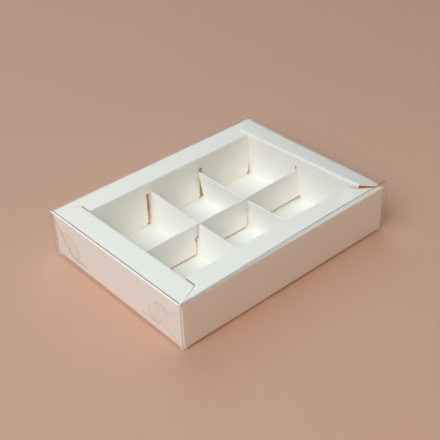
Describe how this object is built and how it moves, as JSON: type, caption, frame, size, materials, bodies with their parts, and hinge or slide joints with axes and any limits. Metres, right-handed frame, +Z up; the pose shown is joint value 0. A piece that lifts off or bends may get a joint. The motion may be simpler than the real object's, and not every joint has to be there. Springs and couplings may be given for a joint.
{
  "type": "chocolate box",
  "caption": "Folded board tray with hollow walls, a flat rim and slotted dividers under a clear film lid that lifts off and unfolds at its corner locks.",
  "frame": {"origin": "middle of the tray's underside, on the surface that it stands on", "axes": "+X along the box's long side, +Y across it towards the back, +Z up through the lid"},
  "size_m": [0.1568, 0.1172, 0.0342],
  "materials": {
    "white_board": "coated white folding board, satin",
    "clear_film": "clear glossy film"
  },
  "bodies": {
    "tray": {"tray_base_panel": "white_board", "long_outer_wall_front": "white_board", "long_rim_front": "white_board", "long_inner_wall_front": "white_board", "long_outer_wall_back": "white_board", "long_rim_back": "white_board", "long_inner_wall_back": "white_board", "short_outer_wall_left": "white_board", "short_rim_left": "white_board", "short_inner_wall_left": "white_board", "short_outer_wall_right": "white_board", "short_rim_right": "white_board", "short_inner_wall_right": "white_board", "corner_flap_front_left": "white_board", "corner_flap_front_right": "white_board", "corner_flap_back_left": "white_board", "corner_flap_back_right": "white_board", "long_divider": "white_board", "cross_divider_left": "white_board", "cross_divider_right": "white_board"},
    "lid": {"lid_top_panel": "clear_film"},
    "lid_front": {"lid_long_side_front": "clear_film", "lid_lock_tab_front_left": "clear_film", "lid_lock_tab_front_right": "clear_film"},
    "lid_back": {"lid_long_side_back": "clear_film", "lid_lock_tab_back_left": "clear_film", "lid_lock_tab_back_right": "clear_film"},
    "lid_left": {"lid_short_side_left": "clear_film"},
    "lid_right": {"lid_short_side_right": "clear_film"}
  },
  "joints": [
    {"name": "lid_lift", "type": "slide", "parent": "tray", "child": "lid", "axis": [0, 0, 1], "range_m": [0, 0.06]},
    {"name": "lid_fold_front", "type": "hinge", "parent": "lid", "child": "lid_front", "pos_m": [0, -0.0586, 0.0339], "axis": [-1, 0, 0], "range_deg": [0, 90], "deforming": ["lid_lock_tab_front_left", "lid_lock_tab_front_right"]},
    {"name": "lid_fold_back", "type": "hinge", "parent": "lid", "child": "lid_back", "pos_m": [0, 0.0586, 0.0339], "axis": [1, 0, 0], "range_deg": [0, 90], "deforming": ["lid_lock_tab_back_left", "lid_lock_tab_back_right"]},
    {"name": "lid_fold_left", "type": "hinge", "parent": "lid", "child": "lid_left", "pos_m": [-0.078, 0, 0.0339], "axis": [0, 1, 0], "range_deg": [0, 90], "deforming": ["lid_lock_tab_front_left", "lid_lock_tab_back_left"]},
    {"name": "lid_fold_right", "type": "hinge", "parent": "lid", "child": "lid_right", "pos_m": [0.078, 0, 0.0339], "axis": [0, -1, 0], "range_deg": [0, 90], "deforming": ["lid_lock_tab_front_right", "lid_lock_tab_back_right"]}
  ]
}
